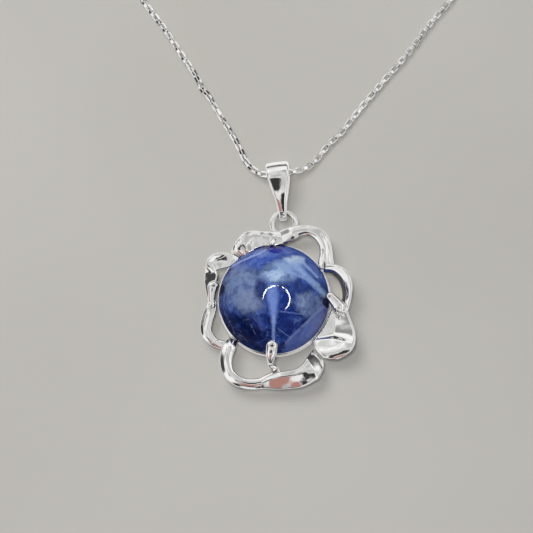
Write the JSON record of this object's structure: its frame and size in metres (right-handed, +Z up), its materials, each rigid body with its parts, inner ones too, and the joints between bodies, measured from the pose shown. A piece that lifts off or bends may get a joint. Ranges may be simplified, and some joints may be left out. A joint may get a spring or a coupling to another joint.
{
  "type": "pendant necklace",
  "caption": "Round blue cabochon pendant in a frame of winding silver ribbons, on a jump ring, a tapered bail and a fine box chain with a lobster clasp.",
  "frame": {"origin": "on the stone's axis, on the resting plane at the back of the seat ring, at the mouth of the seat ring's open back", "axes": "+Z up through the stone's dome, +Y towards the bail and the chain, +X to the right as the pendant is seen from the front"},
  "size_m": [0.0502, 0.0796, 0.0076],
  "materials": {
    "blue_stone": "polished sodalite, deep blue with pale blue-grey clouds and thin pale veins",
    "polished_silver": "rhodium-plated silver, mirror polished with faint handling marks",
    "chain_silver": "bright silver box links",
    "spring_steel": "bright drawn wire"
  },
  "bodies": {
    "chain": {"chain_run": "chain_silver", "chain_lead": "chain_silver", "chain_coil": "chain_silver", "clasp_end_loop": "polished_silver", "clasp_ring": "polished_silver", "free_end_link": "polished_silver"},
    "bail": {"bail": "polished_silver"},
    "ring": {"jump_ring": "polished_silver"},
    "setting": {"stone": "blue_stone", "seat_ring": "polished_silver", "prong_top": "polished_silver", "prong_left": "polished_silver", "prong_right": "polished_silver", "prong_bottom": "polished_silver", "petal_top_left": "polished_silver", "petal_upper_left": "polished_silver", "petal_left": "polished_silver", "petal_lower_left": "polished_silver", "petal_bottom": "polished_silver", "petal_lower_right": "polished_silver", "petal_right": "polished_silver", "petal_top_right": "polished_silver", "hanging_eye": "polished_silver"},
    "clasp": {"clasp_body": "polished_silver", "clasp_rivet": "polished_silver", "clasp_spring": "spring_steel"},
    "lever": {"clasp_lever": "polished_silver"},
    "end_ring": {"free_end_ring": "polished_silver"}
  },
  "joints": [
    {"name": "bail_swing", "type": "hinge", "parent": "chain", "child": "bail", "pos_m": [0.0006, 0.01905, 0.0015], "axis": [0.9945, 0.1045, 0], "range_deg": [-75, 75]},
    {"name": "ring_swing", "type": "hinge", "parent": "bail", "child": "ring", "pos_m": [0.00121, 0.01316, 0.0012], "axis": [0.9945, 0.1045, 0], "range_deg": [-60, 60]},
    {"name": "setting_swing", "type": "hinge", "parent": "ring", "child": "setting", "pos_m": [0.00139, 0.00973, 0.0012], "axis": [1, 0, 0], "range_deg": [-30, 45]},
    {"name": "clasp_swivel", "type": "hinge", "parent": "chain", "child": "clasp", "pos_m": [0.0125, 0.0515, 0.0013], "axis": [0, 0, 1], "range_deg": [-60, 60]},
    {"name": "lever_open", "type": "hinge", "parent": "clasp", "child": "lever", "pos_m": [0.015, 0.05225, 0.0013], "axis": [0, 0, 1], "range_deg": [-20, 0], "stiffness_Nm_per_rad": 0.0005, "springref_deg": 8.59},
    {"name": "end_ring_swing", "type": "hinge", "parent": "chain", "child": "end_ring", "pos_m": [0.0277, 0.0501, 0.00105], "axis": [1, 0, 0], "range_deg": [-80, 80]}
  ]
}
